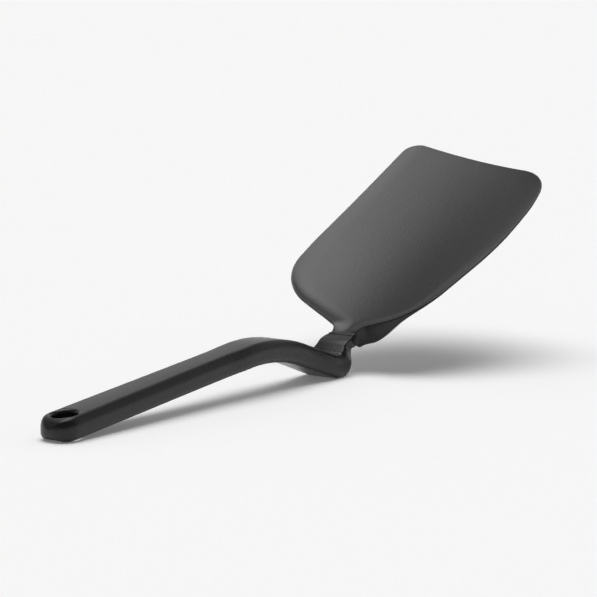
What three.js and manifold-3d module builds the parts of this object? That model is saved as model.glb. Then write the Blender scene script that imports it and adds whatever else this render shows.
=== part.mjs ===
// A rigid kitchen turner: a dished nylon blade on a humped handle that stands on its own foot.
// Millimetres, +Z up, +X from the handle to the blade, +Y across to the blade's straight side.
// The origin is on the worktop, under the middle of the foot.

import * as THREE from 'three';
import { mergeVertices } from 'three/addons/utils/BufferGeometryUtils.js';
import Module from 'manifold-3d';

const wasm = await Module();
wasm.setup();

// ---------------------------------------------------------------------------------------------
// Driving dimensions
// ---------------------------------------------------------------------------------------------

const GAP = 0.3; // clearance kept between touching pieces

// The handle in side view, from its free end to the seam with the blade: at each station the
// corner of its upper line, the corner of its lower line, the radius that rounds each corner, half
// of the handle's width, and the share of the full rounding that its edges have.
const HANDLE = [
  { upper: [-184.3, 9.3], lower: [-184.3, -0.4], upperR: 0, lowerR: 0, half: 8.8, edge: 1 }, // free end
  { upper: [-80, 21.5], lower: [-80, 11.3], upperR: 0, lowerR: 0, half: 7.9, edge: 1 }, // waist
  { upper: [-43, 25.8], lower: [-44.5, 15.4], upperR: 90, lowerR: 80, half: 8.6, edge: 1 }, // crest
  { upper: [-1.8, 10.9], lower: [-2, 0], upperR: 3, lowerR: 3, half: 10.2, edge: 1 }, // heel
  { upper: [0.6, 11.0], lower: [7.1, 0], upperR: 3, lowerR: 6, half: 9.9, edge: 0.9 }, // toe
  { upper: [6.0, 16.0], lower: [9.9, 12.4], upperR: 10, lowerR: 1, half: 8.0, edge: 0.45 }, // throat
  { upper: [12.2, 17.9], lower: [13.7, 12.5], upperR: 0, lowerR: 0, half: 7.4, edge: 0.35 }, // seam
];
const END_LENGTH = 8.8; // length of the bull nose at the free end, seen from above
const END_DEPTH = 6.4; // length of the bull nose in side view
const END_BLUNTNESS = 2.25; // exponent of the bull nose, where 2 would be a circle
// Rounding along the handle's edges: how far it reaches across and down, and the most that it takes
// of a section's height in either direction
const TOP_ROUND = { across: 2.8, down: 4.8, acrossShare: 0.27, downShare: 0.46 };
const BOTTOM_ROUND = { across: 2.8, down: 2.8, acrossShare: 0.28, downShare: 0.28 };
const SIDE_SHARE = 0.9; // most that a rounding takes of half the width

const HANG_HOLE = { x: -174.4, radius: 5.3, rimRound: 1.8 };

// The blade in its own plane: u runs from the seam to the front edge, v runs across. Each corner of
// the outline has the radius that rounds it.
const BLADE_PITCH = THREE.MathUtils.degToRad(31.4);
const STRAIGHT_SIDE = [
  { u: 0, v: 7.4, r: 0 },
  { u: 5.2, v: 5.8, r: 4 },
  { u: 24.9, v: 49.6, r: 34.5 },
  { u: 60, v: 50.4, r: 150 },
  { u: 149.4, v: 45.3, r: 8 },
];
const BOWED_SIDE = [
  { u: 0, v: -7.4, r: 0 },
  { u: 4.5, v: -6.8, r: 5 },
  { u: 14.7, v: -36.1, r: 33 },
  { u: 68.5, v: -51.4, r: 120 },
  { u: 100, v: -52, r: 70 },
  { u: 128, v: -47.4, r: 26 },
];
const BLADE_WALL = 1.1; // thickness of the thin blade
const SEAM_LEAN = THREE.MathUtils.degToRad(16); // lean of the seam, from square to the blade
const SEAM_WALL = 5.6; // thickness at the seam
const SEAM_FADE = 1.3; // length over which that gives way to the root
const ROOT_WALL = 10.2; // thickness in the middle of the root, a swelling under the blade
const ROOT_AT = { u: 9, v: -10.5 };
const ROOT_REACH = { u: 20, v: 12.5 }; // how far the swelling spreads
const DISH_DEPTH = 7.9; // rise of the sides over the middle, at the seam end, DISH_SPAN out
const DISH_SPAN = 50;
const DISH_FADE = 140; // length over which the dish flattens towards the front
const LIP_BAND = 10; // width of the curled lip around the rear shoulders
const LIP_RADIUS = 14.5; // bend radius of the lip
const LIP_END = 31; // the lip fades out around this u
const LIP_FADE = 12;
const LIP_FRONT = 0.12; // share of the lip left along the front half
const LIP_START = 2; // the lip begins past this u
const LIP_START_FADE = 5;
const FLOOR_DIP = 1.3; // how far the middle of the blade drops below the tongue
const FLOOR_DIP_AT = 12; // the dip is deepest at this u
const TIP_RISE = 0.55; // how far the front edge turns up again
const TIP_AT = 150; // u of the front edge

// The tang: the tail of the blade's moulding, which turns through the foot and lies in the arm
const TANG_WIDTH = 9.6;
const TANG_THICKNESS = 2.2;
const TANG_ROUND = 0.5;
const TANG_LINE = [
  [-28, 13.65, 0],
  [2.0, 2.8, 4],
  [8.0, 14.1, 3],
  [13.2, 15.9, 6],
  [18.0, 18.6, 0],
];

// The steel strip in the arm, raised over the handle's middle line to lie on the tang
const SPINE = { start: -152, end: -6, width: 9, thickness: 1.2, round: 0.3, raised: 0.8 };

// The rigid bar around the rear part of the strip, on the handle's middle line
const CORE = { start: -162, end: -30.6, width: 11.4, thickness: 6, round: 1.5, raised: 0 };

// Rivets through the strip and the tang
const RIVETS = { rear: -23, front: -12 };
const RIVET = { shank: 1.5, head: 2.6, headHeight: 0.9 };

// Mesh fineness
const SECTION_STEPS = 5; // steps in each rounded corner of the handle's section
const BAR_STEPS = 2; // steps in each rounded corner of the inner bars
const ARC_SECTIONS = 6; // steps along each bend of the handle
const RUN_SECTIONS = 4; // steps along each straight run of the handle
const NOSE_SECTIONS = 8; // steps along the bull nose
const NOSE_START = 0.6; // share of a step between the tip and the first section
const BLADE_ROWS = 36;
const BLADE_COLUMNS = 18;
const ROW_EASING = 0.7; // how much finer the rows are near the ends, from 0 to 1
const COLUMN_EASING = 0.6; // how much finer the columns are near the sides
const CORNER_STEPS = 12; // steps along each bend of the blade's outline
const ROUND_SEGMENTS = 24;

// ---------------------------------------------------------------------------------------------
// Lines
// ---------------------------------------------------------------------------------------------

/** The arc that rounds the corner b between a and c with the given radius, as steps + 1 points. */
function cornerArc(a, b, c, radius, steps) {
  const toA = a.clone().sub(b).normalize();
  const toC = c.clone().sub(b).normalize();
  const turn = Math.sign(toC.cross(toA));
  const half = toA.angleTo(toC) / 2;
  const centre = toA.clone().add(toC).normalize().multiplyScalar(radius / Math.sin(half)).add(b);
  const start = toA.multiplyScalar(radius / Math.tan(half)).add(b).sub(centre);
  const sweep = turn * (Math.PI - 2 * half);
  return Array.from({ length: steps + 1 }, (_, k) =>
    start.clone().rotateAround(new THREE.Vector2(), (sweep * k) / steps).add(centre));
}

/** A line of [x, y, radius] corners with each corner rounded. */
function roundedLine(corners, steps = ARC_SECTIONS) {
  const points = corners.map(([x, y]) => new THREE.Vector2(x, y));
  return corners.flatMap(([, , radius], i) =>
    radius > 0 ? cornerArc(points[i - 1], points[i], points[i + 1], radius, steps) : [points[i]]);
}

/** The point a given fraction of the way along a line. */
function pointAlong(line, fraction) {
  const reach = [0];
  for (let i = 1; i < line.length; i += 1) {
    reach.push(reach[i - 1] + line[i].distanceTo(line[i - 1]));
  }
  const target = fraction * reach.at(-1);
  const next = Math.max(1, reach.findIndex((r) => r >= target - 1e-9));
  const part = (target - reach[next - 1]) / (reach[next] - reach[next - 1]);
  return line[next - 1].clone().lerp(line[next], part);
}

/** The stretch of a line between two x positions. */
function between(line, xStart, xEnd) {
  const at = (x) => {
    const i = line.findIndex((p) => p.x > x);
    const part = (x - line[i - 1].x) / (line[i].x - line[i - 1].x);
    return line[i - 1].clone().lerp(line[i], part);
  };
  const inner = line.filter((p) => p.x > xStart + 1 && p.x < xEnd - 1);
  return [at(xStart), ...inner, at(xEnd)];
}

/** Unit normals of a line, pointing to its left. */
function lineNormals(line) {
  return line.map((_, i) => {
    const before = line[Math.max(i - 1, 0)];
    const after = line[Math.min(i + 1, line.length - 1)];
    const along = after.clone().sub(before).normalize();
    return new THREE.Vector2(-along.y, along.x);
  });
}

/** A line moved sideways. */
function offsetLine(line, distance) {
  const normals = lineNormals(line);
  return line.map((p, i) => p.clone().addScaledVector(normals[i], distance));
}

/** A line made longer at both ends. */
function extendLine(line, growth) {
  const longer = line.map((p) => p.clone());
  const last = longer.length - 1;
  longer[0].add(line[0].clone().sub(line[1]).setLength(growth));
  longer[last].add(line[last].clone().sub(line[last - 1]).setLength(growth));
  return longer;
}

// ---------------------------------------------------------------------------------------------
// Solids
// ---------------------------------------------------------------------------------------------

/** A geometry from rows of points, joined in order, with flat ends. */
function loft(rings) {
  const size = rings[0].length;
  const positions = rings.flat().flatMap((p) => [p.x, p.y, p.z]);
  const index = [];
  for (let i = 0; i + 1 < rings.length; i += 1) {
    for (let k = 0; k < size; k += 1) {
      const a = i * size + k;
      const b = i * size + ((k + 1) % size);
      index.push(a, b, a + size, b, b + size, a + size);
    }
  }
  const end = (rings.length - 1) * size;
  for (let k = 1; k + 1 < size; k += 1) {
    index.push(0, k + 1, k);
    index.push(end, end + k, end + k + 1);
  }
  return geometryOf(positions, index);
}

function geometryOf(positions, index) {
  const geometry = new THREE.BufferGeometry();
  geometry.setAttribute('position', new THREE.Float32BufferAttribute(positions, 3));
  geometry.setIndex(index);
  return geometry;
}

/** A rounded section across the handle, from its lower to its upper point in side view. */
function sectionRing(upper, lower, half, top, bottom, steps) {
  const height = upper.distanceTo(lower);
  const up = upper.clone().sub(lower).normalize();
  const corners = [
    { y: half - top.across, h: height - top.down, round: top },
    { y: top.across - half, h: height - top.down, round: top },
    { y: bottom.across - half, h: bottom.down, round: bottom },
    { y: half - bottom.across, h: bottom.down, round: bottom },
  ];
  return corners.flatMap((corner, quarter) =>
    Array.from({ length: steps + 1 }, (_, k) => {
      const angle = ((quarter + k / steps) * Math.PI) / 2;
      const h = corner.h + corner.round.down * Math.sin(angle);
      const y = corner.y + corner.round.across * Math.cos(angle);
      return new THREE.Vector3(lower.x + up.x * h, y, lower.y + up.y * h);
    }));
}

/** A rounding held to its share of a section's height and width. */
function heldRound({ across, down, acrossShare, downShare }, height, half, edge) {
  return {
    across: edge * Math.min(across, acrossShare * height, SIDE_SHARE * half),
    down: edge * Math.min(down, downShare * height),
  };
}

/** A flat bar that follows a line in side view. */
function bar(line, width, thickness, round) {
  const upper = offsetLine(line, thickness / 2);
  const lower = offsetLine(line, -thickness / 2);
  const edge = { across: round, down: round };
  return loft(line.map((_, i) =>
    sectionRing(upper[i], lower[i], width / 2, edge, edge, BAR_STEPS)));
}

/** The closed solid of a geometry. */
function solid(geometry) {
  const bare = geometry.clone();
  bare.deleteAttribute('normal');
  bare.deleteAttribute('uv');
  const merged = mergeVertices(bare, 1e-4);
  const vertProperties = new Float32Array(merged.attributes.position.array);
  const triVerts = new Uint32Array(merged.index.array);
  if (signedVolume(merged) < 0) {
    triVerts.reverse();
  }
  return new wasm.Manifold(new wasm.Mesh({ numProp: 3, vertProperties, triVerts }));
}

/** Six times the volume that the faces enclose, negative if they face inwards. */
function signedVolume(geometry) {
  const { position } = geometry.attributes;
  const corner = (k) => new THREE.Vector3().fromBufferAttribute(position, geometry.index.getX(k));
  let volume = 0;
  for (let k = 0; k < geometry.index.count; k += 3) {
    volume += corner(k).dot(corner(k + 1).cross(corner(k + 2)));
  }
  return volume;
}

/** A named mesh from a closed solid. */
function meshOf(name, body, material) {
  const { vertProperties, triVerts } = body.getMesh();
  const mesh = new THREE.Mesh(geometryOf(Array.from(vertProperties), Array.from(triVerts)), material);
  mesh.name = name;
  mesh.geometry.computeVertexNormals();
  return mesh;
}

// ---------------------------------------------------------------------------------------------
// The handle
// ---------------------------------------------------------------------------------------------

/** Fractions along a straight run, closer together in the bull nose at the free end. */
function runFractions(run) {
  const even = Array.from({ length: RUN_SECTIONS - 1 }, (_, k) => (k + 1) / RUN_SECTIONS);
  if (run > 0) {
    return even;
  }
  const length = HANDLE[1].upper[0] - HANDLE[0].upper[0];
  const nose = Array.from({ length: NOSE_SECTIONS }, (_, k) =>
    (END_LENGTH * (1 - Math.cos(((k + NOSE_START) / NOSE_SECTIONS) * (Math.PI / 2)))) / length);
  return [...nose, ...even];
}

/** One line of the handle, sampled so that the upper and lower lines match point for point. */
function handleLine(side) {
  const points = HANDLE.map((station) => new THREE.Vector2(...station[side]));
  const samples = [];
  HANDLE.forEach((station, i) => {
    const radius = station[`${side}R`];
    const exit = samples.at(-1);
    const arc = radius > 0
      ? cornerArc(points[i - 1], points[i], points[i + 1], radius, ARC_SECTIONS)
      : [points[i]];
    if (i > 0) {
      runFractions(i - 1).forEach((f) => samples.push(exit.clone().lerp(arc[0], f)));
    }
    samples.push(...arc);
  });
  return samples;
}

/** A value of the stations at each sample: eased between stations, even around a bend. */
function stationValues(key) {
  return HANDLE.flatMap((station, i) => {
    const count = station.upperR > 0 ? ARC_SECTIONS + 1 : 1;
    const here = Array(count).fill(station[key]);
    if (i === 0) {
      return here;
    }
    const last = HANDLE[i - 1][key];
    const run = runFractions(i - 1).map((f) =>
      THREE.MathUtils.lerp(last, station[key], THREE.MathUtils.smoothstep(f, 0, 1)));
    return [...run, ...here];
  });
}

/** How much of its full size a section keeps at a distance from the tip of a rounded end. */
function noseShare(distance, length) {
  const inward = Math.max(0, 1 - distance / length);
  return (1 - inward ** END_BLUNTNESS) ** (1 / END_BLUNTNESS);
}

/** The outer solid of the handle. */
function handleBody(seamGap) {
  const uppers = handleLine('upper');
  const lowers = handleLine('lower');
  const halves = stationValues('half');
  const edges = stationValues('edge');
  const tip = HANDLE[0].upper[0];
  const back = uppers.at(-1).clone().sub(uppers.at(-2)).setLength(-seamGap);
  uppers.at(-1).add(back);
  lowers.at(-1).add(back);
  const rings = uppers.slice(1).map((fullUpper, i) => {
    const fullLower = lowers[i + 1];
    const distance = fullUpper.x - tip;
    const height = fullUpper.distanceTo(fullLower) * noseShare(distance, END_DEPTH);
    const middle = fullUpper.clone().lerp(fullLower, 0.5);
    const up = fullUpper.clone().sub(fullLower).setLength(height / 2);
    const half = halves[i + 1] * noseShare(distance, END_LENGTH);
    const top = heldRound(TOP_ROUND, height, half, edges[i + 1]);
    const bottom = heldRound(BOTTOM_ROUND, height, half, edges[i + 1]);
    const upper = middle.clone().add(up);
    return sectionRing(upper, middle.sub(up), half, top, bottom, SECTION_STEPS);
  });
  return solid(loft(rings));
}

/** The handle's middle line, from its free end to the foot. */
function middleLine() {
  const corners = HANDLE.slice(0, 4).map(({ upper, lower, upperR, lowerR }) => [
    (upper[0] + lower[0]) / 2,
    (upper[1] + lower[1]) / 2,
    (upperR + lowerR) / 2,
  ]);
  corners.at(-1)[2] = 0;
  return roundedLine(corners, 2 * ARC_SECTIONS);
}

/** A turned tool or pin, stood on the handle's middle line at an x position. */
function standOnMiddle(profile, x) {
  const line = middleLine();
  const [here, ahead] = between(line, x, x + 2);
  const slope = ahead.clone().sub(here).angle();
  const geometry = new THREE.LatheGeometry(profile.map(([r, y]) => new THREE.Vector2(r, y)),
    ROUND_SEGMENTS);
  geometry.rotateX(Math.PI / 2);
  geometry.rotateY(-slope);
  geometry.translate(here.x, 0, here.y);
  return solid(geometry);
}

/** The tool that cuts the hanging hole, flared where it meets the upper and lower faces. */
function hangHoleTool() {
  const { x, radius, rimRound } = HANG_HOLE;
  const [upper, lower] = [HANDLE[0].upper, HANDLE[0].lower];
  const half = (upper[1] - lower[1]) / 2;
  const flare = (sign) => Array.from({ length: ARC_SECTIONS + 1 }, (_, k) => {
    const angle = (k / ARC_SECTIONS) * (Math.PI / 2);
    const r = radius + rimRound * (1 - Math.cos(angle));
    return [r, sign * (half - rimRound * (1 - Math.sin(angle)))];
  });
  const wide = radius + rimRound;
  const upward = flare(1);
  const downward = flare(-1).reverse();
  return standOnMiddle([[0, -2 * half], [wide, -2 * half], ...downward, ...upward,
    [wide, 2 * half], [0, 2 * half]], x);
}

// ---------------------------------------------------------------------------------------------
// The blade
// ---------------------------------------------------------------------------------------------

/** The blade's outline, split at the middles of its two front corners. */
function bladeOutline() {
  const corners = [...STRAIGHT_SIDE, ...BOWED_SIDE.toReversed()].map(({ u, v, r }) => [u, v, r]);
  const line = roundedLine(corners, CORNER_STEPS);
  const nearest = ({ u, v }) => {
    const corner = new THREE.Vector2(u, v);
    const distances = line.map((p) => p.distanceTo(corner));
    return distances.indexOf(Math.min(...distances));
  };
  const first = nearest(STRAIGHT_SIDE.at(-1));
  const second = nearest(BOWED_SIDE.at(-1));
  return {
    all: line,
    straight: line.slice(0, first + 1),
    front: line.slice(first, second + 1).reverse(),
    bowed: line.slice(second).reverse(),
  };
}

/** Even steps from 0 to 1, eased so that they are finer near both ends. */
function spread(count, easing) {
  return Array.from({ length: count + 1 }, (_, k) => {
    const even = k / count;
    return even - (easing * Math.sin(2 * Math.PI * even)) / (2 * Math.PI);
  });
}

/** Distance from a point to the nearest stretch of a line. */
function distanceToLine(point, line) {
  const nearest = new THREE.Vector3();
  const at = new THREE.Vector3(point.x, point.y, 0);
  let best = Infinity;
  for (let i = 1; i < line.length; i += 1) {
    const start = new THREE.Vector3(line[i - 1].x, line[i - 1].y, 0);
    const end = new THREE.Vector3(line[i].x, line[i].y, 0);
    new THREE.Line3(start, end).closestPointToPoint(at, true, nearest);
    best = Math.min(best, nearest.distanceTo(at));
  }
  return best;
}

/** Height of the blade's upper face over its plane: a floor, a dish and a curled lip. */
function bladeRise(u, v, toRim) {
  const floor = TIP_RISE * (u / TIP_AT) ** 2
    - FLOOR_DIP * (u / FLOOR_DIP_AT) * Math.exp(1 - u / FLOOR_DIP_AT);
  const dish = DISH_DEPTH * Math.exp(-u / DISH_FADE) * (v / DISH_SPAN) ** 2;
  const inBand = THREE.MathUtils.clamp(LIP_BAND - toRim, 0, LIP_BAND);
  const curl = LIP_RADIUS - Math.sqrt(LIP_RADIUS ** 2 - inBand ** 2);
  const rear = 1 / (1 + Math.exp((u - LIP_END) / LIP_FADE));
  const fromSeam = 1 - Math.exp(-Math.max(u - LIP_START, 0) / LIP_START_FADE);
  return floor + dish + curl * (LIP_FRONT + (1 - LIP_FRONT) * rear) * fromSeam;
}

/** Thickness of the blade: the neck at the seam, the swollen root under it and the thin blade. */
function bladeWall(u, v) {
  const ahead = (u - ROOT_AT.u) / ROOT_REACH.u;
  const aside = (v - ROOT_AT.v) / ROOT_REACH.v;
  const wall = BLADE_WALL + (ROOT_WALL - BLADE_WALL) * Math.exp(-(ahead ** 2) - aside ** 2);
  return THREE.MathUtils.lerp(wall, SEAM_WALL, Math.exp(-((u / SEAM_FADE) ** 2)));
}

/** The blade's upper face as rows of points, in its own plane with w as the height. */
function bladeTop() {
  const outline = bladeOutline();
  const rows = spread(BLADE_ROWS, ROW_EASING);
  const columns = spread(BLADE_COLUMNS, COLUMN_EASING);
  return rows.map((s) => {
    const bowed = pointAlong(outline.bowed, s);
    const straight = pointAlong(outline.straight, s);
    return columns.map((t) => {
      const front = pointAlong(outline.front, t);
      const chord = outline.front[0].clone().lerp(outline.front.at(-1), t);
      const p = bowed.clone().lerp(straight, t).addScaledVector(front.sub(chord), s);
      return new THREE.Vector3(p.x, p.y, bladeRise(p.x, p.y, distanceToLine(p, outline.all)));
    });
  });
}

/** The lower face: the thin wall under each point of the upper face, and the root's swelling. */
function bladeBottom(top) {
  const lastRow = top.length - 1;
  const lastColumn = top[0].length - 1;
  const atSeam = new THREE.Vector3(Math.sin(SEAM_LEAN), 0, Math.cos(SEAM_LEAN));
  const square = new THREE.Vector3(0, 0, 1);
  return top.map((row, i) => row.map((p, j) => {
    const along = top[Math.min(i + 1, lastRow)][j].clone().sub(top[Math.max(i - 1, 0)][j]);
    const across = row[Math.min(j + 1, lastColumn)].clone().sub(row[Math.max(j - 1, 0)]);
    const normal = i === 0 ? atSeam : along.cross(across).normalize();
    const swelling = bladeWall(p.x, p.y) - BLADE_WALL;
    return p.clone().addScaledVector(normal, -BLADE_WALL)
      .addScaledVector(i === 0 ? atSeam : square, -swelling);
  }));
}

/** A closed shell between two matching grids of points. */
function shellBetween(top, bottom) {
  const rows = top.length;
  const columns = top[0].length;
  const positions = [...top.flat(), ...bottom.flat()].flatMap((p) => [p.x, p.y, p.z]);
  const upper = (i, j) => i * columns + j;
  const lower = (i, j) => rows * columns + i * columns + j;
  const index = [];
  const quad = (a, b, c, d) => index.push(a, b, c, a, c, d);
  for (let i = 0; i + 1 < rows; i += 1) {
    for (let j = 0; j + 1 < columns; j += 1) {
      quad(upper(i, j), upper(i + 1, j), upper(i + 1, j + 1), upper(i, j + 1));
      quad(lower(i, j), lower(i, j + 1), lower(i + 1, j + 1), lower(i + 1, j));
    }
    quad(upper(i, 0), lower(i, 0), lower(i + 1, 0), upper(i + 1, 0));
    quad(upper(i + 1, columns - 1), lower(i + 1, columns - 1), lower(i, columns - 1),
      upper(i, columns - 1));
  }
  for (let j = 0; j + 1 < columns; j += 1) {
    quad(upper(0, j + 1), lower(0, j + 1), lower(0, j), upper(0, j));
    quad(upper(rows - 1, j), lower(rows - 1, j), lower(rows - 1, j + 1), upper(rows - 1, j + 1));
  }
  return geometryOf(positions, index);
}

/** The blade without its tang, set at its pitch in front of the seam. */
function bladeBody() {
  const seam = HANDLE.at(-1);
  const top = bladeTop();
  const geometry = shellBetween(top, bladeBottom(top));
  geometry.rotateY(-BLADE_PITCH);
  geometry.translate(seam.upper[0], 0, seam.upper[1]);
  return solid(geometry);
}

// ---------------------------------------------------------------------------------------------
// Inside the handle
// ---------------------------------------------------------------------------------------------

/** The tang, or the room it needs when grown by the gap. */
function tangBody(grow) {
  const line = roundedLine(TANG_LINE, 6);
  return solid(bar(extendLine(line, grow), TANG_WIDTH + 2 * grow, TANG_THICKNESS + 2 * grow,
    TANG_ROUND));
}

/** A bar along the handle's middle line, or the room it needs when grown by the gap. */
function innerBar({ start, end, width, thickness, round, raised }, grow) {
  const line = offsetLine(between(middleLine(), start - grow, end + grow), raised);
  return solid(bar(line, width + 2 * grow, thickness + 2 * grow, round));
}

/** Where the rivets sit across the strip and the tang, measured from the handle's middle line. */
function rivetLevels(grow) {
  const top = SPINE.raised + SPINE.thickness / 2 + GAP;
  const bottom = SPINE.raised - SPINE.thickness / 2 - TANG_THICKNESS - 2 * GAP;
  return {
    top,
    bottom,
    over: top + RIVET.headHeight + grow,
    under: bottom - RIVET.headHeight - grow,
  };
}

function rivetBody(x) {
  const { top, bottom, over, under } = rivetLevels(0);
  const bevel = RIVET.headHeight / 2;
  return standOnMiddle([
    [0, under],
    [RIVET.head - bevel, under],
    [RIVET.head, under + bevel],
    [RIVET.head, bottom],
    [RIVET.shank, bottom],
    [RIVET.shank, top],
    [RIVET.head, top],
    [RIVET.head, over - bevel],
    [RIVET.head - bevel, over],
    [0, over],
  ], x);
}

/** The room that a rivet needs inside the sleeve. */
function rivetRoom(x) {
  const { over, under } = rivetLevels(GAP);
  const wide = RIVET.head + GAP;
  return standOnMiddle([[0, under], [wide, under], [wide, over], [0, over]], x);
}

/** The tool that drills a rivet's hole through the strip and the tang. */
function rivetDrill(x) {
  const { over, under } = rivetLevels(1);
  const wide = RIVET.shank + GAP;
  return standOnMiddle([[0, under], [wide, under], [wide, over], [0, over]], x);
}

// ---------------------------------------------------------------------------------------------
// The pieces
// ---------------------------------------------------------------------------------------------

const nylon = new THREE.MeshStandardMaterial({ color: 0x2b2b2c, roughness: 0.55, metalness: 0 });
const softTouch = new THREE.MeshStandardMaterial({ color: 0x2a2a2b, roughness: 0.7, metalness: 0 });
const hardPlastic = new THREE.MeshStandardMaterial({ color: 0x4a4d50, roughness: 0.5, metalness: 0 });
const steel = new THREE.MeshStandardMaterial({ color: 0xb4b7ba, roughness: 0.35, metalness: 1 });

const drills = Object.values(RIVETS).map(rivetDrill);
const cutAll = (body, tools) => tools.reduce((left, tool) => left.subtract(tool), body);

function blade() {
  const body = cutAll(bladeBody().add(tangBody(0)), drills);
  return meshOf('blade', body, nylon);
}

function gripSleeve() {
  const rooms = [
    tangBody(GAP),
    innerBar(SPINE, GAP),
    innerBar(CORE, GAP),
    ...Object.values(RIVETS).map(rivetRoom),
    hangHoleTool(),
  ];
  return meshOf('grip_sleeve', cutAll(handleBody(GAP), rooms), softTouch);
}

function handleCore() {
  const channel = innerBar({ ...SPINE, end: CORE.end + 5 }, GAP);
  return meshOf('handle_core', innerBar(CORE, 0).subtract(channel), hardPlastic);
}

function steelSpine() {
  return meshOf('steel_spine', cutAll(innerBar(SPINE, 0), drills), steel);
}

const turner = new THREE.Group();
turner.add(blade(), gripSleeve(), handleCore(), steelSpine());
Object.entries(RIVETS).forEach(([place, x]) => {
  turner.add(meshOf(`spine_rivet_${place}`, rivetBody(x), steel));
});

export default turner;
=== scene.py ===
"""The looks of a rigid kitchen turner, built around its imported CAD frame.

Shapes are worked out in millimetres, as the CAD model's are, and turned into metres as each mesh
is made. +X runs from the handle to the blade, +Y across to the blade's straight side, +Z up.
"""

import math

import bpy
import numpy as np
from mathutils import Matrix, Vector


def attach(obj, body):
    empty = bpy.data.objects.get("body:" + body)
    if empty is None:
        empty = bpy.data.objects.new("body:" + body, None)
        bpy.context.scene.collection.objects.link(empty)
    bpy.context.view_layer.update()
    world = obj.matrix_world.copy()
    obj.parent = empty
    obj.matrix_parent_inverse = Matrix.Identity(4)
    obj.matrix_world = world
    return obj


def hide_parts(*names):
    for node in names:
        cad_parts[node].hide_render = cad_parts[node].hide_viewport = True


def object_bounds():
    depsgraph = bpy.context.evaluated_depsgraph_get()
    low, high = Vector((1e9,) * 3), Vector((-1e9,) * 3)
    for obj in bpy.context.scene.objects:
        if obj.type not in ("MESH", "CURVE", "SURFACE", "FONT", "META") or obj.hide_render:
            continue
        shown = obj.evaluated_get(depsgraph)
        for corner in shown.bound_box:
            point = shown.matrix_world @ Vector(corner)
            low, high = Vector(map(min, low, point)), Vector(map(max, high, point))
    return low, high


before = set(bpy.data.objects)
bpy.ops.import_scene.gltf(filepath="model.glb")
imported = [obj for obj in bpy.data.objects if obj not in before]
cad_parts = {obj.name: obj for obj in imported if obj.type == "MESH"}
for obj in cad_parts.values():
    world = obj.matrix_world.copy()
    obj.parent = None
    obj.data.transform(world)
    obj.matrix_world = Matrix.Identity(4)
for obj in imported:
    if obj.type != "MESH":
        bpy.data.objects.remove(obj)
cad_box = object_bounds()

MM = 0.001
GAP = 0.3  # clearance between touching pieces
WELD = 0.01  # points of a CAD mesh closer than this are one point

# ---------------------------------------------------------------------------------------------
# Driving dimensions, the same as the CAD model's
# ---------------------------------------------------------------------------------------------

# The handle in side view, from its free end to the seam with the blade: at each station its upper
# corner, its lower corner, the radius that rounds each, half of the handle's width, and the share
# of the full rounding that its edges have
HANDLE = [
    ((-184.3, 9.3), (-184.3, -0.4), 0, 0, 8.8, 1),  # free end
    ((-80, 21.5), (-80, 11.3), 0, 0, 7.9, 1),  # waist
    ((-43, 25.8), (-44.5, 15.4), 90, 80, 8.6, 1),  # crest of the hump
    ((-1.8, 10.9), (-2, 0), 3, 3, 10.2, 1),  # heel of the foot
    ((0.6, 11.0), (7.1, 0), 3, 6, 9.9, 0.9),  # toe of the foot
    ((6.0, 16.0), (9.9, 12.4), 10, 1, 8.0, 0.45),  # throat
    ((12.2, 17.9), (13.7, 12.5), 0, 0, 7.4, 0.35),  # seam
]
UPPER_RADIUS, HALF_WIDTH, EDGE_SHARE = 2, 4, 5  # where a station keeps these values
END_LENGTH = 8.8
END_DEPTH = 6.4
END_BLUNTNESS = 2.25
TOP_ROUND = {"across": 2.8, "down": 4.8, "across_share": 0.27, "down_share": 0.46}
BOTTOM_ROUND = {"across": 2.8, "down": 2.8, "across_share": 0.28, "down_share": 0.28}
SIDE_SHARE = 0.9
SEAM_EDGE = 0.25  # rounding of both pieces' edges at the seam

HOLE_AT = -174.4
HOLE_RADIUS = 5.3
HOLE_RIM = 1.8
HOLE_OVERSHOOT = 0.1  # the rim's curve runs this far past the face

# The blade in its own plane: u runs from the seam to the front edge, v runs across. Each corner of
# the outline has the radius that rounds it.
BLADE_PITCH = math.radians(31.4)
STRAIGHT_SIDE = [(0, 7.4, 0), (5.2, 5.8, 4), (24.9, 49.6, 34.5), (60, 50.4, 150), (149.4, 45.3, 8)]
BOWED_SIDE = [
    (0, -7.4, 0),
    (4.5, -6.8, 5),
    (14.7, -36.1, 33),
    (68.5, -51.4, 120),
    (100, -52, 70),
    (128, -47.4, 26),
]
BLADE_WALL = 1.1
SEAM_LEAN = math.radians(16)  # lean of the seam, from square to the blade
SEAM_WALL, SEAM_FADE = 5.6, 1.3
ROOT_WALL, ROOT_AT, ROOT_REACH = 10.2, (9, -10.5), (20, 12.5)
DISH_DEPTH, DISH_SPAN, DISH_FADE = 7.9, 50, 140
LIP_BAND, LIP_RADIUS, LIP_END, LIP_FADE, LIP_FRONT = 10, 14.5, 31, 12, 0.12
LIP_START, LIP_START_FADE = 2, 5
FLOOR_DIP, FLOOR_DIP_AT = 1.3, 12
TIP_RISE, TIP_AT = 0.55, 150

TANG_LINE = [(-28, 13.65, 0), (2.0, 2.8, 4), (8.0, 14.1, 3), (13.2, 15.9, 6), (18.0, 18.6, 0)]
TANG_WIDTH, TANG_THICKNESS, TANG_ROUND = 9.6, 2.2, 0.5
RIVETS = ("spine_rivet_rear", "spine_rivet_front")

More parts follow.
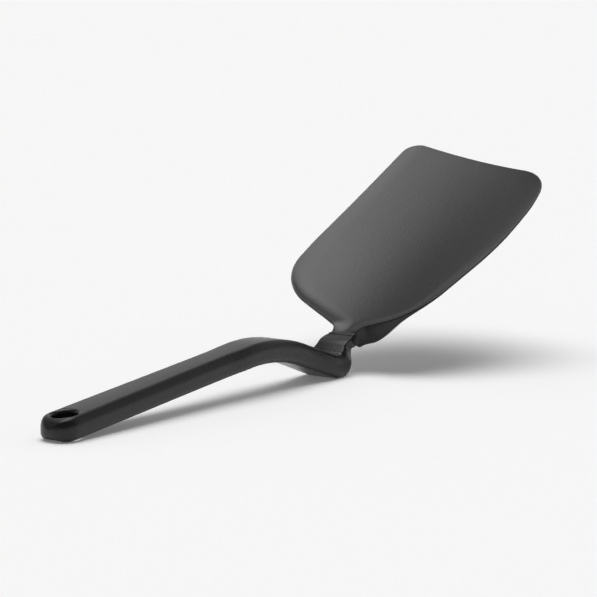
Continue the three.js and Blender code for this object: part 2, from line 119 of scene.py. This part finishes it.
# Mesh fineness
SECTION_STEPS = 10  # steps in each rounded corner of the handle's section
BEND_STEPS = 16  # steps along each bend of the handle
RUN_STEP = 1.6  # length of a step along its straight runs
NOSE_STEPS = 26
SEAM_STEPS = 3  # steps around the edges at the seam
HOLE_SEGMENTS = 96
HOLE_RIM_STEPS = 11
TANG_STEPS, TANG_EDGE_STEPS = 8, 4
OUTLINE_STEPS = 40  # steps along each bend of the blade's outline
BLADE_ROWS, ROW_EASING = 190, 0.55
BLADE_COLUMNS, COLUMN_EASING = 110, 0.5
RIM_STEPS = 8  # steps around the blade's rounded edge
SHARP_ANGLE = math.radians(40)  # edges sharper than this aren't shaded smooth


# ---------------------------------------------------------------------------------------------
# Lines, as arrays of points
# ---------------------------------------------------------------------------------------------


def unit(vectors):
    """Vectors brought to length 1."""
    return vectors / np.linalg.norm(vectors, axis=-1, keepdims=True)


def corner_arc(a, b, c, radius, steps):
    """The arc that rounds the corner b between a and c, as steps + 1 points."""
    to_a, to_c = unit(a - b), unit(c - b)
    half = math.acos(np.clip(to_a @ to_c, -1, 1)) / 2
    centre = b + unit(to_a + to_c) * radius / math.sin(half)
    x, y = b + to_a * radius / math.tan(half) - centre
    turn = math.copysign(1, to_c[0] * to_a[1] - to_c[1] * to_a[0])
    angles = np.linspace(0, turn * (math.pi - 2 * half), steps + 1)
    cos, sin = np.cos(angles), np.sin(angles)
    return centre + np.stack([x * cos - y * sin, x * sin + y * cos], axis=1)


def rounded_line(corners, steps):
    """A line of (x, y, radius) corners with each corner rounded."""
    points = np.array([corner[:2] for corner in corners], float)
    stretches = [
        corner_arc(points[i - 1], points[i], points[i + 1], radius, steps)
        if radius > 0
        else points[i : i + 1]
        for i, (_, _, radius) in enumerate(corners)
    ]
    return np.concatenate(stretches)


def along(line, fractions):
    """The points that are given fractions of the way along a line."""
    reach = np.concatenate([[0], np.cumsum(np.linalg.norm(np.diff(line, axis=0), axis=1))])
    return np.stack([np.interp(fractions * reach[-1], reach, axis) for axis in line.T], axis=1)


def left_normals(line):
    """Unit normals of a flat line, pointing to its left."""
    forward = unit(np.gradient(line, axis=0))
    return np.stack([-forward[:, 1], forward[:, 0]], axis=1)


def spread(count, easing):
    """Even steps from 0 to 1, eased so that they are finer near both ends."""
    even = np.linspace(0, 1, count + 1)
    return even - easing * np.sin(2 * math.pi * even) / (2 * math.pi)


# ---------------------------------------------------------------------------------------------
# Meshes
# ---------------------------------------------------------------------------------------------


def mesh_object(name, points, faces):
    """A smooth-shaded mesh object, from points in millimetres."""
    mesh = bpy.data.meshes.new(name)
    mesh.from_pydata((np.asarray(points) * MM).tolist(), [], faces)
    mesh.validate()
    mesh.shade_smooth()
    piece = bpy.data.objects.new(name, mesh)
    bpy.context.scene.collection.objects.link(piece)
    return piece


def tube_faces(loops, size):
    """The quads between matching loops of points that lie one after another."""
    faces = []
    for start in range(0, (loops - 1) * size, size):
        for k in range(size):
            ahead = (k + 1) % size
            faces.append((start + k, start + ahead, start + size + ahead, start + size + k))
    return faces


def loft(name, rings):
    """A closed body through rings of points, with flat ends."""
    size = len(rings[0])
    last = (len(rings) - 1) * size
    ends = [tuple(reversed(range(size))), tuple(range(last, last + size))]
    piece = mesh_object(name, np.concatenate(rings), tube_faces(len(rings), size) + ends)
    face_outwards(piece)
    return piece


def face_outwards(piece):
    """Turns every face of a closed mesh outwards."""
    bpy.ops.object.select_all(action="DESELECT")
    piece.select_set(True)
    bpy.context.view_layer.objects.active = piece
    bpy.ops.object.mode_set(mode="EDIT")
    bpy.ops.mesh.select_all(action="SELECT")
    bpy.ops.mesh.normals_make_consistent(inside=False)
    bpy.ops.object.mode_set(mode="OBJECT")


def mark_sharp(piece):
    """Keeps a piece's true edges sharp under smooth shading."""
    piece.data.set_sharp_from_angle(angle=SHARP_ANGLE)


def combine(piece, tool, operation):
    """Joins a tool's body to a piece, or cuts it out of it, and removes the tool."""
    modifier = piece.modifiers.new("combine", "BOOLEAN")
    modifier.operation = operation
    modifier.solver = "EXACT"
    modifier.object = tool
    bpy.context.view_layer.objects.active = piece
    bpy.ops.object.modifier_apply(modifier=modifier.name)
    bpy.data.objects.remove(tool)


def grown_copy(node):
    """A copy of a CAD node's body, larger by the gap all round, to cut its room with."""
    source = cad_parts[node]
    copy = bpy.data.objects.new(node + "_room", source.data.copy())
    bpy.context.scene.collection.objects.link(copy)
    bpy.context.view_layer.objects.active = copy
    weld = copy.modifiers.new("weld", "WELD")
    weld.merge_threshold = WELD * MM
    swell = copy.modifiers.new("swell", "DISPLACE")
    swell.mid_level = 0
    swell.strength = GAP * MM
    bpy.ops.object.modifier_apply(modifier=weld.name)
    bpy.ops.object.modifier_apply(modifier=swell.name)
    return copy


# ---------------------------------------------------------------------------------------------
# The handle
# ---------------------------------------------------------------------------------------------


def run_fractions(run):
    """Steps along a straight run of the handle, closer together in the nose at the free end."""
    start, end = np.array(HANDLE[run][0]), np.array(HANDLE[run + 1][0])
    length = np.linalg.norm(end - start)
    even = np.arange(1, int(length / RUN_STEP)) * RUN_STEP / length
    if run > 0:
        return even
    nose = END_LENGTH * (1 - np.cos((np.arange(NOSE_STEPS) + 0.5) / NOSE_STEPS * math.pi / 2))
    return np.concatenate([nose / length, even[even * length > END_LENGTH + RUN_STEP / 2]])


def handle_line(side):
    """The upper (0) or lower (1) line of the handle: both have the same number of points."""
    points = [np.array(station[side], float) for station in HANDLE]
    samples = [points[0][None]]
    for i in range(1, len(HANDLE)):
        radius = HANDLE[i][UPPER_RADIUS + side]
        bend = points[i][None]
        if radius > 0:
            bend = corner_arc(points[i - 1], points[i], points[i + 1], radius, BEND_STEPS)
        start = samples[-1][-1]
        samples.append(start + run_fractions(i - 1)[:, None] * (bend[0] - start))
        samples.append(bend)
    return np.concatenate(samples)


def station_values(key):
    """A value of the stations at each point of the handle's lines, eased between stations."""
    samples = [np.array([HANDLE[0][key]])]
    for i in range(1, len(HANDLE)):
        before, here = HANDLE[i - 1][key], HANDLE[i][key]
        f = run_fractions(i - 1)
        samples.append(before + (here - before) * f * f * (3 - 2 * f))
        samples.append(np.full(BEND_STEPS + 1 if HANDLE[i][UPPER_RADIUS] > 0 else 1, here))
    return np.concatenate(samples)


def nose_share(distance, length):
    """How much of its full size a section keeps at a distance from the tip of a rounded end."""
    inward = max(0.0, 1 - distance / length)
    return (1 - inward**END_BLUNTNESS) ** (1 / END_BLUNTNESS)


def held_round(rounding, height, half, edge):
    """A rounding's reach across and down, held to its share of a section's size."""
    across = min(rounding["across"], rounding["across_share"] * height, SIDE_SHARE * half)
    return edge * across, edge * min(rounding["down"], rounding["down_share"] * height)


def section_ring(upper, lower, half, top, bottom, steps):
    """A rounded section across the handle, from its lower to its upper point in side view."""
    height = np.linalg.norm(upper - lower)
    up = (upper - lower) / height
    ring = []
    for quarter, (across, down) in enumerate((top, top, bottom, bottom)):
        angles = (quarter + np.linspace(0, 1, steps + 1)) * math.pi / 2
        side = 1 if quarter in (0, 3) else -1
        level = height - down if quarter < 2 else down
        h = level + down * np.sin(angles)
        y = side * (half - across) + across * np.cos(angles)
        ring.append(np.stack([lower[0] + up[0] * h, y, lower[1] + up[1] * h], axis=1))
    return np.concatenate(ring)


def handle_rings():
    """The sections of the handle, with the edge at the seam rounded."""
    uppers, lowers = handle_line(0), handle_line(1)
    halves, edges = station_values(HALF_WIDTH), station_values(EDGE_SHARE)
    forward = unit(uppers[-1] - uppers[-2])
    uppers[-1] -= forward * GAP
    lowers[-1] -= forward * GAP
    tip = HANDLE[0][0][0]
    rings = []
    for upper, lower, half, edge in zip(uppers[1:], lowers[1:], halves[1:], edges[1:]):
        distance = upper[0] - tip
        height = np.linalg.norm(upper - lower) * nose_share(distance, END_DEPTH)
        middle = (upper + lower) / 2
        reach = unit(upper - lower) * height / 2
        width = half * nose_share(distance, END_LENGTH)
        top, bottom = (held_round(r, height, width, edge) for r in (TOP_ROUND, BOTTOM_ROUND))
        rings.append(
            section_ring(middle + reach, middle - reach, width, top, bottom, SECTION_STEPS)
        )
    return round_last_ring(rings, np.array([forward[0], 0, forward[1]]))


def round_last_ring(rings, forward):
    """Rounds the edge where the last ring of a loft is closed."""
    full = rings.pop()
    middle = full.mean(axis=0)
    inward = unit(middle - full)
    for angle in np.linspace(0, math.pi / 2, SEAM_STEPS + 1):
        pulled = inward * SEAM_EDGE * (1 - math.cos(angle))
        rings.append(full + pulled - forward * SEAM_EDGE * (1 - math.sin(angle)))
    return rings


def hole_tool():
    """The tool that cuts the hanging hole, flared where it meets the upper and lower faces."""
    upper, lower, ahead_upper, ahead_lower = (
        np.array(HANDLE[i][side], float) for i in (0, 1) for side in (0, 1)
    )
    part = (HOLE_AT - upper[0]) / (ahead_upper[0] - upper[0])
    start, end = (upper + lower) / 2, (ahead_upper + ahead_lower) / 2
    centre = start + (end - start) * part
    slope = math.atan2(end[1] - start[1], end[0] - start[0])
    half = (upper[1] - lower[1]) / 2
    angles = np.linspace(0, math.pi / 2, HOLE_RIM_STEPS + 1)
    flare_radii = HOLE_RADIUS + HOLE_RIM * (1 - np.cos(angles))
    flare_heights = half + HOLE_OVERSHOOT - HOLE_RIM * (1 - np.sin(angles))
    radii = np.concatenate([[flare_radii[-1]], flare_radii[::-1], flare_radii, [flare_radii[-1]]])
    heights = np.concatenate([[-2 * half], -flare_heights[::-1], flare_heights, [2 * half]])
    turn = np.arange(HOLE_SEGMENTS) * 2 * math.pi / HOLE_SEGMENTS
    rings = []
    for radius, height in zip(radii, heights):
        x, y = radius * np.cos(turn), radius * np.sin(turn)
        x, z = (
            x * math.cos(slope) - height * math.sin(slope),
            x * math.sin(slope) + height * math.cos(slope),
        )
        rings.append(np.stack([centre[0] + x, y, centre[1] + z], axis=1))
    return loft("hole_tool", rings)


def tang(grow):
    """The tail of the blade's moulding, or the room it needs when grown by the gap."""
    line = rounded_line(TANG_LINE, TANG_STEPS)
    line[0] += unit(line[0] - line[1]) * grow
    line[-1] += unit(line[-1] - line[-2]) * grow
    reach = left_normals(line) * (TANG_THICKNESS / 2 + grow)
    edge = (TANG_ROUND, TANG_ROUND)
    half = TANG_WIDTH / 2 + grow
    rings = [
        section_ring(point + up, point - up, half, edge, edge, TANG_EDGE_STEPS)
        for point, up in zip(line, reach)
    ]
    return loft("tang", rings)


def grip_surface():
    """The soft-touch sleeve: the humped handle with its foot, neck and hanging hole."""
    piece = loft("grip_surface", handle_rings())
    tools = [hole_tool(), tang(GAP)]
    tools += [grown_copy(node) for node in ("handle_core", "steel_spine", *RIVETS)]
    for tool in tools:
        combine(piece, tool, "DIFFERENCE")
    mark_sharp(piece)
    return piece


# ---------------------------------------------------------------------------------------------
# The blade
# ---------------------------------------------------------------------------------------------


def blade_outline(inset):
    """The blade's bowed side, straight side and front edge, moved in by a distance."""
    line = rounded_line(STRAIGHT_SIDE + BOWED_SIDE[::-1], OUTLINE_STEPS)
    line = line - left_normals(line) * inset
    corners = np.array([STRAIGHT_SIDE[-1][:2], BOWED_SIDE[-1][:2]])
    first, second = (int(np.argmin(np.linalg.norm(line - c, axis=1))) for c in corners)
    return line[second:][::-1], line[: first + 1], line[first : second + 1][::-1]


def distance_to_line(points, line):
    """Distance from each point to the nearest stretch of a line."""
    best = np.full(points.shape[:-1], np.inf)
    for start, end in zip(line[:-1], line[1:]):
        forward = end - start
        part = np.clip((points - start) @ forward / (forward @ forward), 0, 1)
        nearest = start + part[..., None] * forward
        best = np.minimum(best, np.linalg.norm(points - nearest, axis=-1))
    return best


def blade_rise(u, v, to_rim):
    """Height of the blade's upper face over its plane: a floor, a dish and a curled lip."""
    dip = FLOOR_DIP * (u / FLOOR_DIP_AT) * np.exp(1 - u / FLOOR_DIP_AT)
    floor = TIP_RISE * (u / TIP_AT) ** 2 - dip
    dish = DISH_DEPTH * np.exp(-u / DISH_FADE) * (v / DISH_SPAN) ** 2
    in_band = np.clip(LIP_BAND - to_rim, 0, LIP_BAND)
    curl = LIP_RADIUS - np.sqrt(LIP_RADIUS**2 - in_band**2)
    rear = 1 / (1 + np.exp((u - LIP_END) / LIP_FADE))
    from_seam = 1 - np.exp(-np.maximum(u - LIP_START, 0) / LIP_START_FADE)
    return floor + dish + curl * (LIP_FRONT + (1 - LIP_FRONT) * rear) * from_seam


def blade_wall(u, v):
    """Thickness of the blade: the neck at the seam, the swollen root and the thin blade."""
    ahead, aside = (u - ROOT_AT[0]) / ROOT_REACH[0], (v - ROOT_AT[1]) / ROOT_REACH[1]
    wall = BLADE_WALL + (ROOT_WALL - BLADE_WALL) * np.exp(-(ahead**2) - aside**2)
    return wall + (SEAM_WALL - wall) * np.exp(-((u / SEAM_FADE) ** 2))


def blade_grid(inset):
    """The blade's upper face as rows of (u, v, w) points that end inside its outline."""
    bowed_line, straight_line, front_line = blade_outline(inset)
    s, t = spread(BLADE_ROWS, ROW_EASING), spread(BLADE_COLUMNS, COLUMN_EASING)
    bowed, straight, front = (
        along(line, f) for line, f in ((bowed_line, s), (straight_line, s), (front_line, t))
    )
    s, t = s[:, None, None], t[None, :, None]
    chord = front[0] + (front[-1] - front[0]) * t
    flat = bowed[:, None] * (1 - t) + straight[:, None] * t + (front[None] - chord) * s
    rim = np.concatenate([bowed_line, front_line[1:-1], straight_line[::-1]])
    rise = blade_rise(flat[..., 0], flat[..., 1], distance_to_line(flat, rim) + inset)
    return np.concatenate([flat, rise[..., None]], axis=2)


def grid_normals(grid):
    """Unit normals of a grid of points, square to the seam's upper edge along the seam."""
    normals = unit(np.cross(np.gradient(grid, axis=0), np.gradient(grid, axis=1)))
    normals[0] = (math.sin(SEAM_LEAN), 0, math.cos(SEAM_LEAN))
    return normals


def rim_arcs(upper, lower, outward, normals, reach):
    """Rounded edges from an upper rim to the lower one, as rows of RIM_STEPS + 1 points."""
    outward = np.concatenate([outward, np.zeros((len(outward), 1))], axis=1)
    outward -= np.sum(outward * normals, axis=1, keepdims=True) * normals
    outward = unit(outward)
    middle, half = (upper + lower) / 2, (upper - lower) / 2
    return np.stack(
        [
            middle + outward * reach * math.cos(angle) + half * math.sin(angle)
            for angle in np.linspace(math.pi / 2, -math.pi / 2, RIM_STEPS + 1)
        ],
        axis=1,
    )


def blade_points():
    """Loops of points round the blade, one for each row, and the arcs that close its front."""
    reach = BLADE_WALL / 2
    top = blade_grid(reach)
    normals = grid_normals(top)
    swelling = blade_wall(top[..., 0], top[..., 1]) - BLADE_WALL
    square = np.zeros_like(top) + (0, 0, 1)
    square[0] = normals[0]
    bottom = top - normals * BLADE_WALL - square * swelling[..., None]
    bowed, front, straight = (slice(None), 0), (-1, slice(1, -1)), (slice(None, None, -1), -1)
    parts = (bowed, front, straight)
    upper, lower, edge_normals = (
        np.concatenate([values[p] for p in parts]) for values in (top, bottom, normals)
    )
    outward = -left_normals(upper[:, :2])
    arcs = rim_arcs(upper, lower, outward, edge_normals, reach)
    rows, columns = swelling.shape
    bowed_arcs = arcs[:rows, 1:-1]
    straight_arcs = arcs[-rows:][::-1, 1:-1]
    loops = np.concatenate(
        [top, straight_arcs, bottom[:, ::-1], bowed_arcs[:, ::-1]], axis=1
    )
    return loops, arcs[rows : rows + columns - 2, 1:-1]


def seam_loops(loop):
    """The loops that round the blade's edge at the seam, from its flat end outwards."""
    middle = (loop.min(axis=0) + loop.max(axis=0)) / 2
    inward = unit(middle - loop)
    ahead = np.array([1.0, 0, 0])
    return [
        loop + inward * SEAM_EDGE * (1 - math.cos(a)) - ahead * SEAM_EDGE * math.sin(a)
        for a in np.linspace(math.pi / 2, 0, SEAM_STEPS + 1)[:-1]
    ]


def in_place(points):
    """Points of the blade's own plane, set at its pitch in front of the seam."""
    u, v, w = points[..., 0], points[..., 1], points[..., 2]
    cos, sin = math.cos(BLADE_PITCH), math.sin(BLADE_PITCH)
    seam_x, seam_z = HANDLE[-1][0]
    return np.stack([seam_x + u * cos - w * sin, v, seam_z + u * sin + w * cos], axis=-1)


def front_faces(loops, front_start):
    """The quads that close the front edge, between the last loop's upper and lower halves."""
    rows, size = loops.shape[:2]
    columns, inner = BLADE_COLUMNS + 1, RIM_STEPS - 1
    last = (rows - 1) * size

    def arc(j):
        upper, lower = last + j, last + columns + inner + (columns - 1 - j)
        if j == 0:
            between = [last + size - 1 - k for k in range(inner)]
        elif j == columns - 1:
            between = [last + columns + k for k in range(inner)]
        else:
            between = [front_start + (j - 1) * inner + k for k in range(inner)]
        return [upper, *between, lower]

    arcs = [arc(j) for j in range(columns)]
    return [
        (a[k], a[k + 1], b[k + 1], b[k])
        for a, b in zip(arcs[:-1], arcs[1:])
        for k in range(RIM_STEPS)
    ]


def blade_surface():
    """The thin dished blade with its rounded rim, and the tang inside the handle."""
    loops, front_arcs = blade_points()
    loops[0, :, 0] += SEAM_EDGE
    loops = np.concatenate([np.stack(seam_loops(loops[0])), loops])
    rows, size = loops.shape[:2]
    points = np.concatenate([loops.reshape(-1, 3), front_arcs.reshape(-1, 3)])
    faces = tube_faces(rows, size) + [tuple(reversed(range(size)))]
    faces += front_faces(loops, rows * size)
    piece = mesh_object("blade_surface", in_place(points), faces)
    face_outwards(piece)
    combine(piece, tang(0), "UNION")
    for node in RIVETS:
        combine(piece, grown_copy(node), "DIFFERENCE")
    mark_sharp(piece)
    return piece


# ---------------------------------------------------------------------------------------------
# Materials
# ---------------------------------------------------------------------------------------------


# Sizes of the moulded surfaces' patterns, in millimetres
SPECKLE_TO_GRAIN = 2.5  # how much coarser the speckle is than the grain
CLOUD_SIZE = 18.0  # slow changes of colour
SMEAR_SIZE = 45.0  # slow changes of gloss
WAVE_SIZE, WAVE_DEPTH = 14.0, 0.03
FIBRE_SIZE, FIBRE_STRETCH = 0.5, (0.15, 1, 1)
STROKE_SIZE, STROKE_STRETCH = 0.25, (0.02, 1, 1)
CONVEX_EDGE = (0.505, 0.56)  # pointiness where an edge begins to count and where it counts fully


class Nodes:
    """A short way to write a material's node tree."""

    def __init__(self, name):
        self.material = bpy.data.materials.new(name)
        self.material.use_nodes = True
        self.tree = self.material.node_tree
        self.shader = self.tree.nodes["Principled BSDF"]
        coordinates = self.tree.nodes.new("ShaderNodeTexCoord")
        self.place = coordinates.outputs["Object"]

    def add(self, kind, links, **settings):
        """A node with its settings, and its inputs given as values or as other nodes' outputs."""
        node = self.tree.nodes.new(kind)
        for key, value in settings.items():
            setattr(node, key, value)
        for key, value in links.items():
            if isinstance(value, bpy.types.NodeSocket):
                self.tree.links.new(value, node.inputs[key])
            else:
                node.inputs[key].default_value = value
        return node

    def noise(self, size, detail=2.0, place=None):
        """Noise whose grains have a given size in millimetres, from 0 to 1."""
        links = {"Vector": place or self.place, "Scale": 1 / (size * MM), "Detail": detail}
        return self.add("ShaderNodeTexNoise", links).outputs["Fac"]

    def spread(self, value, low, high, span=(0.3, 0.7)):
        """A value brought from a span into the range from low to high."""
        links = {"Value": value, "From Min": span[0], "From Max": span[1]}
        links.update({"To Min": low, "To Max": high})
        return self.add("ShaderNodeMapRange", links).outputs["Result"]

    def multiply(self, a, b):
        return self.add("ShaderNodeMath", {0: a, 1: b}, operation="MULTIPLY").outputs[0]

    def tint(self, colour, *factors):
        """A colour made lighter or darker by factors around 1."""
        scaled = colour
        for factor in factors:
            scaled = self.add(
                "ShaderNodeVectorMath", {0: scaled, "Scale": factor}, operation="SCALE"
            ).outputs[0]
        self.set("Base Color", scaled)

    def edge_wear(self, low, high):
        """A factor that changes along worn convex edges."""
        geometry = self.add("ShaderNodeNewGeometry", {})
        return self.spread(geometry.outputs["Pointiness"], low, high, span=CONVEX_EDGE)

    def bump(self, height, depth, normal=None):
        """A bump whose height runs from 0 to 1 over a depth in millimetres."""
        links = {"Height": height, "Strength": 1.0, "Distance": depth * MM}
        if normal is not None:
            links["Normal"] = normal
        return self.add("ShaderNodeBump", links).outputs["Normal"]

    def set(self, socket, value):
        """Sets or links one of the shader's inputs."""
        if isinstance(value, bpy.types.NodeSocket):
            self.tree.links.new(value, self.shader.inputs[socket])
        else:
            self.shader.inputs[socket].default_value = value


def moulded(name, colour, roughness, grain, grain_depth):
    """A near-black moulded surface with a fine spark-eroded grain."""
    nodes = Nodes(name)
    fine = nodes.noise(grain, 3.0)
    speckle = nodes.noise(grain * SPECKLE_TO_GRAIN, 1.0)
    cloud = nodes.noise(CLOUD_SIZE, 2.0)
    smear = nodes.noise(SMEAR_SIZE, 3.0)
    nodes.tint(
        colour,
        nodes.spread(fine, 0.82, 1.18),
        nodes.spread(speckle, 0.9, 1.1),
        nodes.spread(cloud, 0.95, 1.05),
        nodes.edge_wear(1.0, 1.25),
    )
    variation = nodes.multiply(nodes.spread(smear, 0.94, 1.06), nodes.spread(speckle, 0.94, 1.06))
    nodes.set("Roughness", nodes.multiply(variation, roughness))
    wavy = nodes.bump(nodes.noise(WAVE_SIZE, 1.0), WAVE_DEPTH)
    pitted = nodes.bump(speckle, grain_depth, wavy)
    nodes.set("Normal", nodes.bump(fine, grain_depth / 2, pitted))
    return nodes


def blade_nylon():
    nodes = moulded("blade_nylon", (0.009, 0.009, 0.0092), 0.31, 0.6, 0.05)
    nodes.set("IOR", 1.46)
    return nodes.material


def soft_touch():
    nodes = moulded("soft_touch_grip", (0.008, 0.008, 0.0082), 0.29, 0.6, 0.045)
    nodes.set("IOR", 1.44)
    return nodes.material


def core_plastic():
    """Glass-filled plastic, with short pale fibres showing along the bar."""
    nodes = Nodes("core_plastic")
    stretched = nodes.add(
        "ShaderNodeMapping", {"Vector": nodes.place, "Scale": FIBRE_STRETCH}
    ).outputs["Vector"]
    fibres = nodes.noise(FIBRE_SIZE, 2.0, stretched)
    cloud = nodes.noise(9.0)
    nodes.tint((0.07, 0.075, 0.08), nodes.spread(fibres, 0.7, 1.4), nodes.spread(cloud, 0.9, 1.1))
    nodes.set("Roughness", nodes.spread(fibres, 0.42, 0.6))
    nodes.set("Normal", nodes.bump(fibres, 0.03))
    return nodes.material


def brushed_steel():
    """Steel strip, brushed along its length."""
    nodes = Nodes("brushed_steel")
    stretched = nodes.add(
        "ShaderNodeMapping", {"Vector": nodes.place, "Scale": STROKE_STRETCH}
    ).outputs["Vector"]
    strokes = nodes.noise(STROKE_SIZE, 4.0, stretched)
    cloud = nodes.noise(12.0)
    nodes.tint((0.55, 0.56, 0.57), nodes.spread(strokes, 0.85, 1.1), nodes.spread(cloud, 0.94, 1.05))
    nodes.set("Metallic", 1.0)
    nodes.set("Roughness", nodes.spread(strokes, 0.24, 0.42))
    nodes.set("Normal", nodes.bump(strokes, 0.008))
    return nodes.material


def finish(piece, material):
    """Gives a piece its material."""
    piece.data.materials.clear()
    piece.data.materials.append(material)


# ---------------------------------------------------------------------------------------------
# The studio
# ---------------------------------------------------------------------------------------------

FLOOR_RADIUS = 60.0
FLOOR_COLOUR = 0.91
FLOOR_GLOW = 0.12  # light the floor gives off itself, which softens the shadows on it
FLOOR_SEGMENTS = 64
SOFTBOX_TILT = (0.08, 0.09, 1.0)  # the overhead softbox leans a little to the far side
SOFTBOX_EDGE = (0.81, 0.965)  # cosines where its light begins and where it is full
SOFTBOX_LIGHT = 3.4
FAR_SIDE = (0.8, 0.6, 0.0)  # the pale wall is brightest on this side
WALL_EDGE = (-0.7, 0.7)  # cosines from its dimmest to its brightest side
WALL_LIGHT = (0.06, 0.58)
WALL_TOP = (0.45, 0.9)  # heights where the wall begins to fade and where it has faded
ROOM_LIGHT = 0.03

AZIMUTH, ELEVATION = math.radians(-53.186), math.radians(8.182)
CAMERA_DISTANCE = 0.9681
AIM_RIGHT, AIM_UP = 0.0012, -0.0095  # from the middle of the object's box
LENS, SENSOR = 130.22, 36.0


def floor():
    """A plain pale floor, wide enough to reach the horizon."""
    turn = np.arange(FLOOR_SEGMENTS) * 2 * math.pi / FLOOR_SEGMENTS
    rim = np.stack([np.cos(turn), np.sin(turn), np.zeros(FLOOR_SEGMENTS)], axis=1)
    piece = mesh_object("floor", rim * FLOOR_RADIUS / MM, [tuple(range(FLOOR_SEGMENTS))])
    material = bpy.data.materials.new("floor")
    material.use_nodes = True
    shader = material.node_tree.nodes["Principled BSDF"]
    shader.inputs["Base Color"].default_value = (FLOOR_COLOUR, FLOOR_COLOUR, FLOOR_COLOUR, 1)
    shader.inputs["Emission Color"].default_value = (1, 1, 1, 1)
    shader.inputs["Emission Strength"].default_value = FLOOR_GLOW
    shader.inputs["Roughness"].default_value = 1.0
    shader.inputs["Specular IOR Level"].default_value = 0.0
    piece.data.materials.append(material)


def light_ramp(tree, value, span, low, high):
    """A smooth step of light strength over a span of a value."""
    ramp = tree.nodes.new("ShaderNodeMapRange")
    ramp.interpolation_type = "SMOOTHSTEP"
    for key, number in zip(("From Min", "From Max", "To Min", "To Max"), (*span, low, high)):
        ramp.inputs[key].default_value = number
    tree.links.new(value, ramp.inputs["Value"])
    return ramp.outputs["Result"]


def light_math(tree, operation, a, b):
    """Two light strengths added or multiplied."""
    node = tree.nodes.new("ShaderNodeMath")
    node.operation = operation
    tree.links.new(a, node.inputs[0])
    tree.links.new(b, node.inputs[1])
    return node.outputs["Value"]


def studio_light():
    """A dim room with a pale wall on the far side and one wide softbox overhead."""
    world = bpy.data.worlds.new("studio")
    bpy.context.scene.world = world
    world.use_nodes = True
    tree = world.node_tree
    direction = tree.nodes.new("ShaderNodeTexCoord").outputs["Generated"]

    def toward(axis):
        node = tree.nodes.new("ShaderNodeVectorMath")
        node.operation = "DOT_PRODUCT"
        node.inputs[1].default_value = Vector(axis).normalized()
        tree.links.new(direction, node.inputs[0])
        return node.outputs["Value"]

    softbox = light_ramp(tree, toward(SOFTBOX_TILT), SOFTBOX_EDGE, ROOM_LIGHT, SOFTBOX_LIGHT)
    wall = light_ramp(tree, toward(FAR_SIDE), WALL_EDGE, *WALL_LIGHT)
    below_top = light_ramp(tree, toward((0, 0, 1)), WALL_TOP, 1, 0)
    total = light_math(tree, "ADD", softbox, light_math(tree, "MULTIPLY", wall, below_top))
    tree.links.new(total, tree.nodes["Background"].inputs["Strength"])
    tree.nodes["Background"].inputs["Color"].default_value = (1, 1, 1, 1)


def camera():
    """The camera, low down on the handle's near side."""
    back = Vector(
        (
            math.sin(AZIMUTH) * math.cos(ELEVATION),
            -math.cos(AZIMUTH) * math.cos(ELEVATION),
            math.sin(ELEVATION),
        )
    )
    right = Vector((math.cos(AZIMUTH), math.sin(AZIMUTH), 0))
    up = back.cross(right)
    aim = (cad_box[0] + cad_box[1]) / 2 + right * AIM_RIGHT + up * AIM_UP
    data = bpy.data.cameras.new("camera")
    data.lens, data.sensor_width = LENS, SENSOR
    data.clip_end = 2 * FLOOR_RADIUS
    piece = bpy.data.objects.new("camera", data)
    bpy.context.scene.collection.objects.link(piece)
    piece.location = aim + back * CAMERA_DISTANCE
    piece.rotation_mode = "QUATERNION"
    piece.rotation_quaternion = (-back).to_track_quat("-Z", "Y")
    bpy.context.scene.camera = piece


# ---------------------------------------------------------------------------------------------
# The object
# ---------------------------------------------------------------------------------------------

camera()
floor()
studio_light()
bpy.context.scene.view_settings.view_transform = "Standard"

grip = grip_surface()
finish(grip, soft_touch())
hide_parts("grip_sleeve")
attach(grip, "root")

blade = blade_surface()
finish(blade, blade_nylon())
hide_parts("blade")
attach(blade, "root")

finish(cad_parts["handle_core"], core_plastic())
steel = brushed_steel()
for node in ("steel_spine", *RIVETS):
    finish(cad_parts[node], steel)
